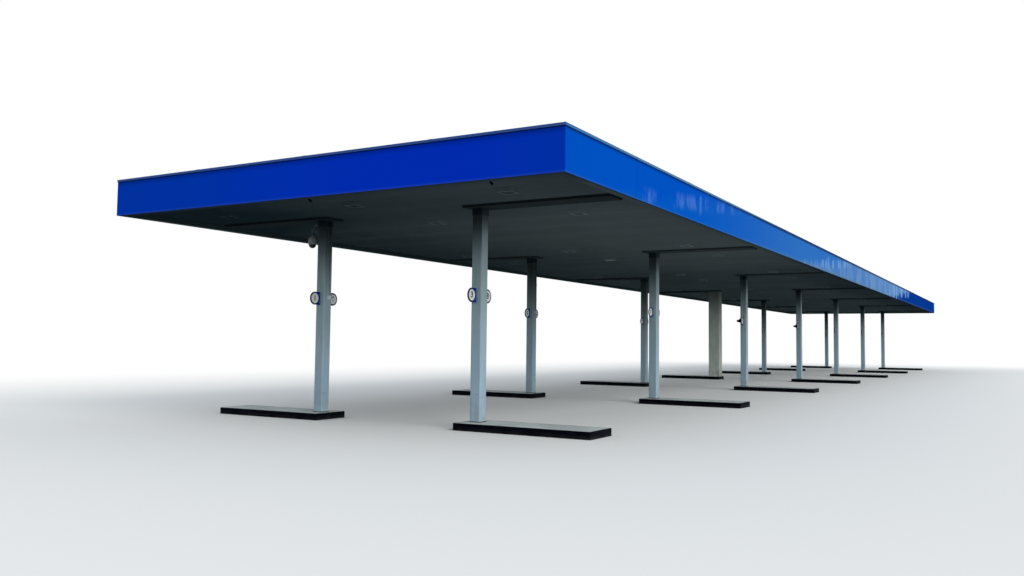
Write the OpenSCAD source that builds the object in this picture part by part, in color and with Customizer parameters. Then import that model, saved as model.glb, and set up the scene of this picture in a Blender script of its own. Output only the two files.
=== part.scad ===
// Filling station canopy: a flat steel roof on two rows of square columns,
// each column standing in a raised island.
// The model is half size, so every length here is half of the real one, in millimetres.
// The origin is on the ground under the middle of the roof, with X along the long side.
// The front is the long side at -Y, and the left end is the short side at -X.

/* [Plan] */
// Distance between two column lines
bay = 5000; // [4900:50:5300]
// Number of bays between the end column lines
bays = 6; // [2:1:6]
// Reach of the roof past the end column lines
end_reach = 1500; // [1400:50:1600]
// Distance between the front and the rear column row
row_gap = 2150; // [2050:50:2250]
// Reach of the roof past each column row
side_reach = 1750; // [1650:50:1850]

/* [Heights] */
// Height of the deck's underside above the ground
deck_z = 2325; // [2200:25:2450]
// How far the fascia hangs below the deck
fascia_drop = 50; // [44:1:60]
// Height of the fascia panel
fascia_h = 402; // [380:2:420]

/* [Islands] */
// Width of an island along the long side
island_w = 500; // [460:10:560]
// Length of an island across the canopy
island_l = 1550; // [1400:10:1650]
// Height of an island above the ground
island_h = 75; // [60:5:90]
// Distance from the column's middle to the island's inner end
island_back = 150; // [140:5:200]
// Radius of an island's corners
island_r = 20; // [18:1:40]
// Thickness of the steel edge form
form_t = 4; // [3:1:6]
// Width of the form's top and bottom lip
form_lip = 14; // [10:1:16]

/* [Columns] */
// Outside width of the square column tube
column_w = 125; // [110:5:130]
// Wall of the column tube
column_t = 6; // [4:1:10]
// Outside corner radius of the column tube
column_r = 14; // [11:1:20]
// Thickness of the plate that closes the foot of a column
foot_t = 10; // [6:1:16]
// Width of the cap plate on a column
cap_w = 150; // [135:5:170]
// Thickness of the cap plate
cap_t = 8; // [6:1:12]
// How far the dark head collar stands out from the column
collar_out = 6; // [5:1:8]
// Height of the head collar below the deck
collar_h = 100; // [90:5:140]
// Which rear column carries the wide cladding, counted from the left end
clad_line = 3; // [0:1:6]
// Outside width of the column cladding
clad_w = 270; // [220:10:280]
// Thickness of the cladding sheet
clad_t = 3; // [2:1:5]

/* [Roof frame] */
// Depth of the tie beams and purlins
beam_h = 100; // [90:5:120]
// Width of the arms' flanges
arm_w = 120; // [90:5:124]
// Distance of the arms' tips from the fascia's bottom return
arm_end = 110; // [80:10:140]
// Width of the sheet trays that cover the arms and the column heads from below
cover_w = 280; // [200:10:290]
// Depth of the trays below the deck
cover_drop = 26; // [22:1:32]
// Thickness of the trays' sheet
cover_t = 3; // [2:0.5:4]
// Thickness of the arms' flanges and end plates
flange_t = 8; // [6:1:12]
// Thickness of the arms' and tie beams' webs
web_t = 5; // [4:1:8]
// Width of the tie beams' flanges
tie_w = 100; // [80:5:120]
// Width of the purlins' flanges
purlin_w = 50; // [40:5:60]
// Thickness of the purlins' flanges and web
purlin_t = 4; // [3:1:5]
// Distance of the inner purlin from the column row, towards the middle
purlin_in = 600; // [500:25:700]
// Distance of the middle purlin from the column row, outwards
purlin_out = 350; // [300:25:400]
// Distance between the middle and the outer purlin
purlin_pitch = 950; // [850:25:975]
// Distance of the end channel from the end fascia
end_channel_set = 300; // [250:10:350]
// Width of the end channel's flanges
end_channel_w = 40; // [30:5:50]
// Length of a clip plate that holds a purlin
clip_l = 45; // [30:5:60]

/* [Deck] */
// Width of one deck pan
pan_w = 250; // [200:5:260]
// Thickness of the deck sheet
deck_t = 2; // [2:1:4]
// Height of the pans' standing ribs above the sheet's underside
rib_h = 40; // [36:1:50]
// Thickness of a standing rib
rib_t = 6; // [4:1:8]
// Width of the joint between two pans, seen from below
joint_w = 3; // [2:1:4]
// Gap between the deck and a column or arm that passes through it
slot_gap = 3; // [2:1:6]
// Width by which the arm's deck plate laps over the deck on each side
lap = 15; // [10:1:20]

/* [Fascia] */
// Thickness of the fascia panel
fascia_t = 3; // [2:1:4]
// Width of the fascia's bottom return
return_w = 100; // [96:1:110]
// Width of the fascia's top return
top_return = 20; // [12:1:22]
// Length of one fascia panel
panel_l = 1500; // [1200:50:2400]
// Width of the joint between two fascia panels
seam_w = 3; // [2:1:5]
// Depth of the joint between two fascia panels
seam_d = 1; // [0.5:0.25:1.5]
// Thickness of the coping sheet
coping_t = 3; // [2:1:4]
// How far the coping stands proud of the fascia
coping_out = 5; // [4:1:8]
// Width of the coping inside the fascia's face
coping_in = 45; // [35:1:60]
// Height of the coping's outer face
coping_h = 24; // [18:1:32]
// Width of the legs of the fascia rails
rail_w = 20; // [16:1:24]
// Thickness of the fascia rails
rail_t = 3; // [2:1:4]
// Distance between two fascia frames
frame_pitch = 1250; // [1000:50:1500]
// Width of a fascia frame's bars
frame_w = 20; // [16:1:26]
// Thickness of a fascia frame
frame_t = 20; // [16:1:24]
// Gap between the ends of the gutter and the end fascia's return
gutter_end = 10; // [6:1:20]
// Width of the gutter
gutter_w = 84; // [80:1:90]
// Thickness of the gutter sheet
gutter_t = 2; // [2:1:3]

/* [Lamps] */
// Number of deck pans between a column line and its lamps
lamp_pans = 3; // [2:1:4]
// Distance of the outer lamps from the column row
lamp_out = 775; // [700:25:850]
// Width of a lamp's rim
lamp_w = 210; // [180:5:230]
// Depth of a lamp below the deck
lamp_h = 30; // [24:1:36]
// Width of a lamp's glass
lamp_glass_w = 140; // [110:5:150]
// Length of the driver box above a lamp
driver_l = 110; // [90:5:130]
// Width of the driver box
driver_w = 70; // [60:5:80]
// Height of the driver box
driver_h = 30; // [24:1:34]

/* [Number signs] */
// Height of the signs' middle above the ground
sign_z = 1385; // [1300:5:1450]
// Radius of a sign's round end
sign_r = 75; // [60:1:80]
// Distance of the disc's middle from the column
sign_out = 90; // [86:1:110]
// Thickness of a sign plate
sign_t = 6; // [4:1:8]
// Radius of the number disc
disc_r = 70; // [54:1:74]
// Width of the disc's raised rim
rim_w = 9; // [6:1:12]
// Thickness of the disc at its rim
rim_t = 4; // [3:1:5]
// Thickness of the disc's field
field_t = 2; // [1:0.5:2.5]

/* [Small devices] */
// Distance of the dome camera's arm below the deck, on the left end's rear column
dome_drop = 65; // [50:1:75]
// Reach of the dome camera's arm, from the column's collar
dome_reach = 130; // [115:5:145]
// Bend radius of the dome camera's arm
dome_bend = 70; // [50:5:80]
// Radius of the dome camera's cap
dome_r = 48; // [42:1:52]
// Height of the dome camera's cap
dome_cap = 110; // [80:5:120]
// Radius of the small column cameras
turret_r = 30; // [24:1:34]
// Distance of the end cameras from the end fascia
bullet_set = 240; // [210:10:300]
// Distance of the first end camera from the front fascia
bullet_in = 850; // [700:50:1000]
// Distance of the second end camera behind the roof's middle
bullet_back = 150; // [50:50:300]
// Radius of an end camera's body
bullet_r = 10; // [9:0.5:13]
// Length of an end camera's body
bullet_l = 50; // [44:2:60]
// Length of an end camera's stem
bullet_drop = 24; // [22:1:30]
// Largest radius of a horn speaker
horn_r = 68; // [56:1:72]
// Length of a horn speaker
horn_l = 95; // [80:5:110]

/* [Hidden] */

roof_l = bays * bay + 2 * end_reach;
roof_w = row_gap + 2 * side_reach;
half_l = roof_l / 2;
half_w = roof_w / 2;
row_y = row_gap / 2;
half_col = column_w / 2;
fascia_z = deck_z - fascia_drop;
fascia_top = fascia_z + fascia_h;
coping_top = fascia_top + coping_t;
beam_z = deck_z + rib_h;
beam_top = beam_z + beam_h;
inner_y = row_y - purlin_in;
middle_y = row_y + purlin_out;
outer_y = middle_y + purlin_pitch;
channel_x = half_l - end_channel_set;
lamp_x = lamp_pans * pan_w;
lamp_y = row_y + lamp_out;
leg_inner = half_w - return_w;
cover_z = deck_z - cover_drop;
arm_tip = leg_inner - arm_end - row_y;
post_y = half_w - fascia_t - rail_w;
rail_levels = [beam_top - rail_w, fascia_top - fascia_t - rail_w];
deck_over = return_w - fascia_t - gutter_w + gutter_t + 4;
eps = 0.5;

function line_x(i) = (i - bays / 2) * bay;
function rib_offsets(span) = [for (k = [0 : ceil(span / 2 / pan_w) - 1])
  if ((k + 0.5) * pan_w < span / 2 - rib_t) (k + 0.5) * pan_w];

// A flat outline with round corners
module round_rect(w, l, r) {
  square([w - 2 * r, l], center = true);
  square([w, l - 2 * r], center = true);
  for (x = [-1, 1], y = [-1, 1]) {
    translate([x * (w / 2 - r), y * (l / 2 - r)]) circle(r = r, $fn = 32);
  }
}

// A straight bar of a frame, drawn flat from one point to another
module bar(p, q, w) {
  d = q - p;
  len = norm(d);
  translate(p) rotate(atan2(d[1], d[0])) translate([0, -w / 2]) square([len, w]);
}

// An outline in Y and Z, drawn out along X about the middle
module along_x(length) {
  rotate([90, 0, 90]) linear_extrude(length, center = true) children();
}

// An outline in X and Z, drawn out along Y about the middle
module along_y(length) {
  rotate([90, 0, 0]) linear_extrude(length, center = true) children();
}

// Copies at every column line of a row, side -1 for the front and 1 for the rear
module at_columns(side) {
  for (i = [0 : bays]) {
    translate([line_x(i), side * row_y, 0]) scale([1, side, 1]) children();
  }
}

// One island's outline, with Y towards the canopy's edge and the column at the origin
module island_outline(inset) {
  translate([0, island_l / 2 - island_back]) {
    round_rect(island_w - 2 * inset, island_l - 2 * inset, max(island_r - inset, 2));
  }
}

// Steel channel bent round an island's edge, with a lip at its top and bottom
module island_form() {
  difference() {
    linear_extrude(island_h) island_outline(0);
    translate([0, 0, -eps]) linear_extrude(island_h + 2 * eps) island_outline(form_lip);
    translate([0, 0, form_t]) linear_extrude(island_h - 2 * form_t) island_outline(form_t);
  }
}

// Concrete cast inside the form and round the column's foot
module island_slab() {
  difference() {
    union() {
      linear_extrude(island_h) island_outline(form_lip);
      translate([0, 0, form_t]) linear_extrude(island_h - 2 * form_t) island_outline(form_t);
    }
    translate([0, 0, -eps]) linear_extrude(island_h + 2 * eps) {
      round_rect(column_w, column_w, column_r);
    }
  }
}

module front_island_forms() { color("#1c1d20") at_columns(-1) island_form(); }
module rear_island_forms() { color("#1c1d20") at_columns(1) island_form(); }
module front_island_slabs() { color("#b9bab7") at_columns(-1) island_slab(); }
module rear_island_slabs() { color("#b9bab7") at_columns(1) island_slab(); }

// Square tube with round corners, closed at its foot
module column_tube() {
  difference() {
    linear_extrude(beam_top) round_rect(column_w, column_w, column_r);
    translate([0, 0, foot_t]) linear_extrude(beam_top) {
      round_rect(column_w - 2 * column_t, column_w - 2 * column_t, column_r - column_t);
    }
  }
}

module front_columns() { color("#9aa5ad") at_columns(-1) column_tube(); }
module rear_columns() { color("#9aa5ad") at_columns(1) column_tube(); }

// Sheet box round one rear column, from its island up to the tray
module column_cladding() {
  color("#b7b3a6") translate([line_x(clad_line), row_y, island_h]) {
    linear_extrude(cover_z - island_h) difference() {
      square(clad_w, center = true);
      square(clad_w - 2 * clad_t, center = true);
    }
  }
}

// Sleeves round the column heads, just under the trays
module column_collars() {
  wide = column_w + 2 * collar_out;
  color("#1b1d20") for (side = [-1, 1]) at_columns(side) {
    translate([0, 0, deck_z - collar_h]) linear_extrude(collar_h - cover_drop) difference() {
      round_rect(wide, wide, column_r + collar_out);
      round_rect(column_w, column_w, column_r);
    }
  }
}

// Plates that close the tops of the columns
module column_caps() {
  color("#8b9299") for (side = [-1, 1]) at_columns(side) {
    translate([0, 0, beam_top]) linear_extrude(cap_t) square(cap_w, center = true);
  }
}

// Small plate that bolts a purlin's web to a beam's web, at the purlin's height
module clip(y, reach) {
  translate([-reach, y + purlin_t / 2, beam_z + purlin_t + 4]) {
    cube([2 * reach, web_t, beam_h - 2 * purlin_t - 8]);
  }
}

// I section standing on its bottom flange, drawn in Y and Z
module i_section(w, h, tf, tw) {
  translate([-w / 2, 0]) square([w, tf]);
  translate([-w / 2, h - tf]) square([w, tf]);
  translate([-tw / 2, 0]) square([tw, h]);
}

// Welded arm that cantilevers from the column's face, resting in its cover tray
module arm() {
  length = arm_tip - half_col;
  low = cover_z + cover_t;
  deep = beam_top - low;
  translate([0, half_col + length / 2, low]) along_y(length) i_section(arm_w, deep, flange_t, web_t);
  for (part = [0, 1 / 3, 2 / 3, 1]) {
    translate([-arm_w / 2, half_col + (length - flange_t) * part, low]) cube([arm_w, flange_t, deep]);
  }
  translate([-half_col - slot_gap - lap, half_col, deck_z + deck_t]) {
    cube([2 * (half_col + slot_gap + lap), length + slot_gap + lap, flange_t / 2]);
  }
  clip(middle_y - row_y, arm_w / 2 + clip_l);
  clip(outer_y - row_y, arm_w / 2 + clip_l);
}

module front_arms() { color("#7f878d") at_columns(-1) arm(); }
module rear_arms() { color("#7f878d") at_columns(1) arm(); }

// Folded trays that box in the arms below the deck, each with a hole for its column
module arm_covers() {
  length = arm_tip + cover_w / 2 + slot_gap + cover_t;
  color("#70797a") for (side = [-1, 1]) at_columns(side) translate([0, 0, cover_z]) difference() {
    translate([-cover_w / 2, -cover_w / 2, 0]) cube([cover_w, length, cover_drop]);
    translate([cover_t - cover_w / 2, cover_t - cover_w / 2, cover_t]) {
      cube([cover_w - 2 * cover_t, length - 2 * cover_t, cover_drop]);
    }
    translate([0, 0, -eps]) linear_extrude(cover_t + 2 * eps) {
      round_rect(column_w + slot_gap, column_w + slot_gap, column_r);
    }
  }
}

// Beams that tie the front and rear columns together above the deck
module tie_beams() {
  color("#7f878d") for (i = [0 : bays]) translate([line_x(i), 0, 0]) {
    translate([0, 0, beam_z]) along_y(row_gap - column_w) i_section(tie_w, beam_h, flange_t, web_t);
    clip(inner_y, arm_w / 2 + clip_l);
    clip(-inner_y - purlin_t - web_t, arm_w / 2 + clip_l);
  }
}

// One line of purlins, cut between the beams and run on to the end channels
module purlin_line(y) {
  run = bay - arm_w;
  tail = end_reach - end_channel_set - arm_w / 2;
  for (i = [0 : bays - 1]) {
    translate([line_x(i) + bay / 2, y, beam_z]) along_x(run) {
      i_section(purlin_w, beam_h, purlin_t, purlin_t);
    }
  }
  for (end = [-1, 1]) {
    translate([end * (channel_x - tail / 2), y, beam_z]) along_x(tail) {
      i_section(purlin_w, beam_h, purlin_t, purlin_t);
    }
  }
}

module front_purlins() {
  color("#858c92") for (y = [inner_y, middle_y, outer_y]) purlin_line(-y);
}

module rear_purlins() {
  color("#858c92") for (y = [inner_y, middle_y, outer_y]) purlin_line(y);
}

// Channels across the purlins' ends, with their flanges outwards
module end_channels() {
  length = 2 * (outer_y + purlin_w);
  color("#858c92") for (end = [-1, 1]) scale([end, 1, 1]) {
    translate([channel_x, 0, beam_z]) along_y(length) difference() {
      square([end_channel_w, beam_h]);
      translate([purlin_t, purlin_t]) square([end_channel_w, beam_h - 2 * purlin_t]);
    }
  }
}

// Deck pans side by side with their ribs up, from x0 to x1, each rib closed over a joint
module deck(x0, x1, ribs) {
  deck_l = 2 * (leg_inner + deck_over);
  difference() {
    along_y(deck_l) difference() {
      union() {
        translate([x0, deck_z]) square([x1 - x0, deck_t]);
        for (x = ribs) translate([x - rib_t / 2, deck_z]) square([rib_t, rib_h]);
      }
      for (x = ribs) {
        polygon([[x - joint_w / 2, deck_z - eps / 10], [x + joint_w / 2, deck_z - eps / 10],
          [x, deck_z + deck_t / 2]]);
      }
    }
    for (i = [0 : bays], side = [-1, 1]) {
      translate([line_x(i), side * row_y, deck_z - eps]) scale([1, side, 1]) {
        translate([-half_col - slot_gap, -half_col - slot_gap, 0]) {
          cube([column_w + 2 * slot_gap, arm_tip + half_col + 2 * slot_gap, deck_t + 2 * eps]);
        }
      }
    }
  }
}

// Deck of one bay, with the ribs laid out from both of its column lines
module deck_bay(i) {
  x0 = line_x(i - 1);
  color("#d9dbd8") deck(x0, x0 + bay, concat([for (o = rib_offsets(bay)) x0 + o],
    [for (o = rib_offsets(bay)) x0 + bay - o]));
}

// Deck past an end column line, at the left end for -1 and the right end for 1
module deck_end(end) {
  ribs = [for (o = rib_offsets(2 * (end_reach - return_w))) end * (line_x(bays) + o)];
  inner = end * line_x(bays);
  outer = end * (half_l - return_w + fascia_t + 6);
  color("#d9dbd8") deck(min(inner, outer), max(inner, outer), ribs);
}

module deck_left_end() { deck_end(-1); }
module deck_bay_1() { deck_bay(1); }
module deck_bay_2() { deck_bay(2); }
module deck_bay_3() { if (bays >= 3) deck_bay(3); }
module deck_bay_4() { if (bays >= 4) deck_bay(4); }
module deck_bay_5() { if (bays >= 5) deck_bay(5); }
module deck_bay_6() { if (bays >= 6) deck_bay(6); }
module deck_right_end() { deck_end(1); }

// Open trough along a long side, on the fascia's bottom return and under the deck's edge
module gutter() {
  length = roof_l - 2 * (return_w + gutter_end);
  bottom = fascia_z + fascia_t;
  translate([0, half_w - fascia_t - gutter_w, bottom]) along_x(length) difference() {
    square([gutter_w, deck_z - bottom]);
    translate([gutter_t, gutter_t]) square([gutter_w - 2 * gutter_t, deck_z - bottom]);
  }
}

module front_gutter() { color("#a8adb0") scale([1, -1, 1]) gutter(); }
module rear_gutter() { color("#a8adb0") gutter(); }

// Triangular bracket that holds the fascia off the roof frame, drawn in depth and height
module fascia_frame(reach) {
  low = beam_top - frame_w / 2;
  high = fascia_top - rail_w;
  post = reach - frame_w / 2;
  bar([0, low], [reach, low], frame_w);
  bar([post, beam_z + frame_w / 2], [post, high], frame_w);
  bar([frame_w / 2, low], [post, high - frame_w], frame_w / 2);
}

module long_frames() {
  seat = outer_y + purlin_w / 2;
  reach = post_y - seat;
  per_bay = round(bay / frame_pitch);
  pitch = bay / per_bay;
  for (k = [-1 : bays * per_bay]) {
    translate([line_x(0) + (k + 0.5) * pitch, seat, 0]) along_x(frame_t) fascia_frame(reach);
  }
}

module end_frames(end) {
  seat = channel_x + end_channel_w;
  reach = half_l - fascia_t - rail_w - seat;
  count = floor(outer_y / frame_pitch);
  for (k = [-count : count]) {
    translate([end * seat, k * frame_pitch, 0]) scale([end, 1, 1]) {
      along_y(frame_t) fascia_frame(reach);
    }
  }
}

module front_fascia_frames() { color("#8d9398") scale([1, -1, 1]) long_frames(); }
module rear_fascia_frames() { color("#8d9398") long_frames(); }
module left_fascia_frames() { color("#8d9398") end_frames(-1); }
module right_fascia_frames() { color("#8d9398") end_frames(1); }

// Angle rail behind the fascia's panels, with its legs up and inwards
module rail_outline() {
  square([rail_w, rail_t]);
  translate([rail_w - rail_t, 0]) square([rail_t, rail_w]);
}

module long_fascia_rails() {
  color("#8d9398") for (z = rail_levels, side = [-1, 1]) {
    scale([1, side, 1]) translate([0, post_y, z]) {
      along_x(roof_l - 2 * fascia_t) rail_outline();
    }
  }
}

module end_fascia_rails() {
  color("#8d9398") for (z = rail_levels, side = [-1, 1]) {
    scale([side, 1, 1]) translate([half_l - fascia_t - rail_w, 0, z]) {
      along_y(2 * post_y) rail_outline();
    }
  }
}

// Section of a fascia panel, with the face at zero and the returns inwards
module fascia_outline() {
  translate([-fascia_t, fascia_z]) square([fascia_t, fascia_h]);
  translate([-return_w, fascia_z]) square([return_w, fascia_t]);
  translate([-return_w, fascia_z]) square([fascia_t, fascia_drop]);
  translate([-top_return, fascia_top - fascia_t]) square([top_return, fascia_t]);
}

// Keeps a side's pieces inside its own mitred corners, out to a given overhang
module mitre(length, out) {
  depth = 2 * return_w;
  intersection() {
    children();
    translate([0, 0, fascia_z - eps]) linear_extrude(fascia_h + coping_t + 2 * eps) {
      polygon([[-length / 2 - out, out], [length / 2 + out, out],
        [length / 2 - depth, -depth], [-length / 2 + depth, -depth]]);
    }
  }
}

// One side's fascia along X, with its face at y = 0 and seams between its panels
module fascia(length) {
  count = floor(length / panel_l / 2);
  odd = length / panel_l / 2 - count > 0.5 ? 0.5 : 0;
  difference() {
    mitre(length, 0) along_x(length) fascia_outline();
    for (k = [-count : count]) {
      if (abs(k + odd) * panel_l < length / 2 - panel_l / 4) {
        translate([(k + odd) * panel_l - seam_w / 2, -seam_d, fascia_z - eps]) {
          cube([seam_w, 2 * seam_d, fascia_h + 2 * eps]);
        }
      }
    }
  }
}

// One side's coping along X: a folded cap with a drip edge, over the top of the fascia
module coping(length) {
  mitre(length, coping_out) along_x(length + 2 * coping_out) {
    translate([-coping_in, fascia_top]) square([coping_in + coping_out, coping_t]);
    translate([coping_out - coping_t, coping_top - coping_h]) square([coping_t, coping_h]);
    translate([0, coping_top - coping_h]) square([coping_out, coping_t / 2]);
    translate([-coping_in, coping_top - coping_h / 2]) square([coping_t, coping_h / 2]);
  }
}

module to_side(angle, distance) {
  rotate(angle) translate([0, distance, 0]) children();
}

module front_fascia() { color("#0f45c4") to_side(180, half_w) fascia(roof_l); }
module rear_fascia() { color("#0f45c4") to_side(0, half_w) fascia(roof_l); }
module left_fascia() { color("#0c33b0") to_side(90, half_l) fascia(roof_w); }
module right_fascia() { color("#0c33b0") to_side(-90, half_l) fascia(roof_w); }
module front_coping() { color("#2f3f63") to_side(180, half_w) coping(roof_l); }
module rear_coping() { color("#2f3f63") to_side(0, half_w) coping(roof_l); }
module left_coping() { color("#2f3f63") to_side(90, half_l) coping(roof_w); }
module right_coping() { color("#2f3f63") to_side(-90, half_l) coping(roof_w); }

// Copies at every lamp place: either side of each column line, in three rows
module at_lamps() {
  for (i = [0 : bays], s = [-1, 1], y = [-lamp_y, 0, lamp_y]) {
    translate([line_x(i) + s * lamp_x, y, deck_z]) children();
  }
}

// Sloping lamp body seen from one side, with its flat rim against the deck
module lamp_outline() {
  polygon([[-lamp_w / 2, 0], [lamp_w / 2, 0], [lamp_w / 2, -3], [lamp_w / 2 - 8, -3],
    [lamp_glass_w / 2 + 6, -lamp_h], [-lamp_glass_w / 2 - 6, -lamp_h],
    [8 - lamp_w / 2, -3], [-lamp_w / 2, -3]]);
}

module lamp_housings() {
  color("#c9ccc9") at_lamps() difference() {
    intersection() {
      along_x(lamp_w) lamp_outline();
      along_y(lamp_w) lamp_outline();
    }
    translate([0, 0, -lamp_h - eps]) linear_extrude(6 + eps) square(lamp_glass_w, center = true);
  }
}

module lamp_glasses() {
  color("#dfe4e2") at_lamps() {
    translate([0, 0, 2 - lamp_h]) linear_extrude(4) square(lamp_glass_w, center = true);
  }
}

// Driver boxes on top of the deck, over the lamps
module lamp_drivers() {
  color("#9b9fa1") at_lamps() translate([0, 0, deck_t]) {
    translate([-driver_w / 2, -driver_l / 2, 0]) cube([driver_w, driver_l, driver_h - 3]);
    translate([-driver_w / 2 - 3, -driver_l / 2 - 3, driver_h - 3]) {
      cube([driver_w + 6, driver_l + 6, 3]);
    }
  }
}

// Copies at both flanks of every bare column, with X away from the column's face
module at_flags() {
  for (side = [-1, 1], i = [0 : bays], face = [-1, 1]) {
    if (side < 0 || i != clad_line) {
      translate([line_x(i) + face * half_col, side * row_y, sign_z]) scale([face, 1, 1]) children();
    }
  }
}

// Flag plates with a round free end
module sign_plates() {
  color("#1233a8") at_flags() along_y(sign_t) {
    translate([sign_out, 0]) circle(r = sign_r, $fn = 64);
    translate([3, -sign_r]) square([sign_out - 3, 2 * sign_r]);
  }
}

// Number discs with a raised rim, one on each side of a flag plate
module sign_discs() {
  color("#e9edec") at_flags() for (s = [-1, 1]) {
    translate([sign_out, s * sign_t / 2, 0]) rotate([-90 * s, 0, 0]) rotate_extrude($fn = 64) {
      square([disc_r, field_t]);
      translate([disc_r - rim_w, 0]) square([rim_w, rim_t]);
    }
  }
}

// Folded straps that clasp a flag plate and screw to the column
module sign_brackets() {
  color("#2b3446") at_flags() for (z = [-0.6, 0.6]) translate([0, 0, z * sign_r - 9]) {
    linear_extrude(18) {
      for (s = [-1, 1]) scale([1, s]) {
        translate([0, sign_t / 2]) square([14, 2]);
        translate([0, sign_t / 2]) square([3, 20]);
      }
    }
  }
}

// Dome camera that hangs from a bent tube on the collar of the left end's rear column
module dome_camera() {
  tube_r = 8;
  hang = 50;
  color("#b4b7b6") translate([line_x(0), row_y + half_col + collar_out, deck_z - dome_drop]) {
    rotate([-90, 0, 0]) cylinder(r = 22, h = 5, $fn = 48);
    rotate([-90, 0, 0]) cylinder(r = tube_r, h = dome_reach - dome_bend, $fn = 32);
    translate([0, dome_reach - dome_bend, -dome_bend]) rotate([90, 0, 90]) {
      rotate_extrude(angle = 90, $fn = 64) translate([dome_bend, 0]) circle(r = tube_r, $fn = 32);
    }
    translate([0, dome_reach, -dome_bend - hang]) cylinder(r = tube_r, h = hang, $fn = 32);
    translate([0, dome_reach, -dome_bend - hang]) rotate([180, 0, 0]) rotate_extrude($fn = 64) {
      polygon([[0, 0], [tube_r + 3, 0], [dome_r * 0.6, 14], [dome_r * 0.9, 34], [dome_r, 56],
        [dome_r, dome_cap], [0, dome_cap]]);
    }
  }
  color("#17191c") translate([line_x(0), row_y + half_col + collar_out + dome_reach,
    deck_z - dome_drop - dome_bend - hang - dome_cap]) intersection() {
    sphere(r = dome_r - 4, $fn = 64);
    translate([0, 0, -dome_r]) cylinder(r = dome_r, h = dome_r, $fn = 48);
  }
}

// Round cameras low on the inner faces of two rear columns
module turret_cameras() {
  color("#c4c7c4") for (i = [0, 1]) {
    translate([line_x(i) + half_col / 3, row_y - half_col, sign_z + 15]) rotate([90, 0, 0]) {
      rotate_extrude($fn = 64) polygon([[0, 0], [turret_r + 4, 0], [turret_r + 4, 8], [turret_r, 12],
        [turret_r, 26], [turret_r * 0.8, 38], [turret_r * 0.35, 44], [0, 44]]);
    }
  }
}

// Slim cameras that hang from the deck behind the left end fascia, tilted down
module end_cameras() {
  tilt = 25;
  color("#26282b") for (y = [bullet_in - half_w, bullet_back]) {
    translate([bullet_set - half_l, y, deck_z]) {
      translate([0, 0, -4]) cylinder(r = bullet_r + 3, h = 4, $fn = 48);
      translate([0, 0, -bullet_drop]) cylinder(r = 4, h = bullet_drop, $fn = 32);
      translate([-bullet_l * 0.3, 0, -bullet_drop * 0.8]) rotate([0, 90 + tilt, 0]) {
        rotate_extrude($fn = 48) polygon([[0, 0], [bullet_r * 0.8, 0], [bullet_r, 4],
          [bullet_r, bullet_l - 10], [bullet_r + 1, bullet_l - 10], [bullet_r + 1, bullet_l],
          [bullet_r - 2, bullet_l], [bullet_r - 3, bullet_l - 5], [0, bullet_l - 5]]);
      }
    }
  }
}

// Flared horns behind the flags of two front columns
module horn_speakers() {
  color("#17181a") for (i = [2, 3]) {
    translate([line_x(i) - half_col - sign_out, -row_y + sign_t / 2 + rim_t, sign_z]) {
      rotate([-90, 0, 0]) rotate_extrude($fn = 64) {
        polygon([[0, 0], [horn_r, 0], [horn_r, 4], [horn_r * 0.74, 16], [horn_r * 0.5, 34],
          [horn_r * 0.36, 56], [horn_r * 0.34, horn_l - 6], [horn_r * 0.28, horn_l], [0, horn_l]]);
      }
    }
  }
}

front_island_forms();
rear_island_forms();
front_island_slabs();
rear_island_slabs();
front_columns();
rear_columns();
column_cladding();
column_collars();
column_caps();
front_arms();
rear_arms();
arm_covers();
tie_beams();
front_purlins();
rear_purlins();
end_channels();
deck_left_end();
deck_bay_1();
deck_bay_2();
deck_bay_3();
deck_bay_4();
deck_bay_5();
deck_bay_6();
deck_right_end();
front_gutter();
rear_gutter();
front_fascia_frames();
rear_fascia_frames();
left_fascia_frames();
right_fascia_frames();
long_fascia_rails();
end_fascia_rails();
front_fascia();
rear_fascia();
left_fascia();
right_fascia();
front_coping();
rear_coping();
left_coping();
right_coping();
lamp_housings();
lamp_glasses();
lamp_drivers();
sign_plates();
sign_discs();
sign_brackets();
dome_camera();
turret_cameras();
end_cameras();
horn_speakers();
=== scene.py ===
import itertools
import math
import bmesh
import bpy
from mathutils import Matrix, Vector


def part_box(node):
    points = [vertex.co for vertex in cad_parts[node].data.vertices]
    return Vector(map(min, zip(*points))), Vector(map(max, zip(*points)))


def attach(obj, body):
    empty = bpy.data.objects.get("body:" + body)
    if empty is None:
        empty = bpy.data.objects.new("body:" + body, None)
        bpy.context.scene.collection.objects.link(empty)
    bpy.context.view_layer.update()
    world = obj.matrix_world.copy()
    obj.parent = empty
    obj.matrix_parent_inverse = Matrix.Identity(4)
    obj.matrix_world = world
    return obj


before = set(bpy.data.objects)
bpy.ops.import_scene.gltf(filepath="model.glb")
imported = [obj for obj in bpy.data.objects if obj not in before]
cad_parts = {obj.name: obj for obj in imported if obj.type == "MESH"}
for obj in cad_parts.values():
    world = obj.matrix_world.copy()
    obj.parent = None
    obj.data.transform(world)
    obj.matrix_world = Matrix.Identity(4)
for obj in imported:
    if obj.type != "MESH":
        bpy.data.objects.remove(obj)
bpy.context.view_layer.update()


# THE VIEW
# Eye height in front of the canopy's near corner, looking up a little at the roof. The model
# is half size, so the camera stands 0.9 m above the ground.
def placed(name, data):
    """A new object in the scene."""
    made = bpy.data.objects.new(name, data)
    bpy.context.scene.collection.objects.link(made)
    return made


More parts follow.
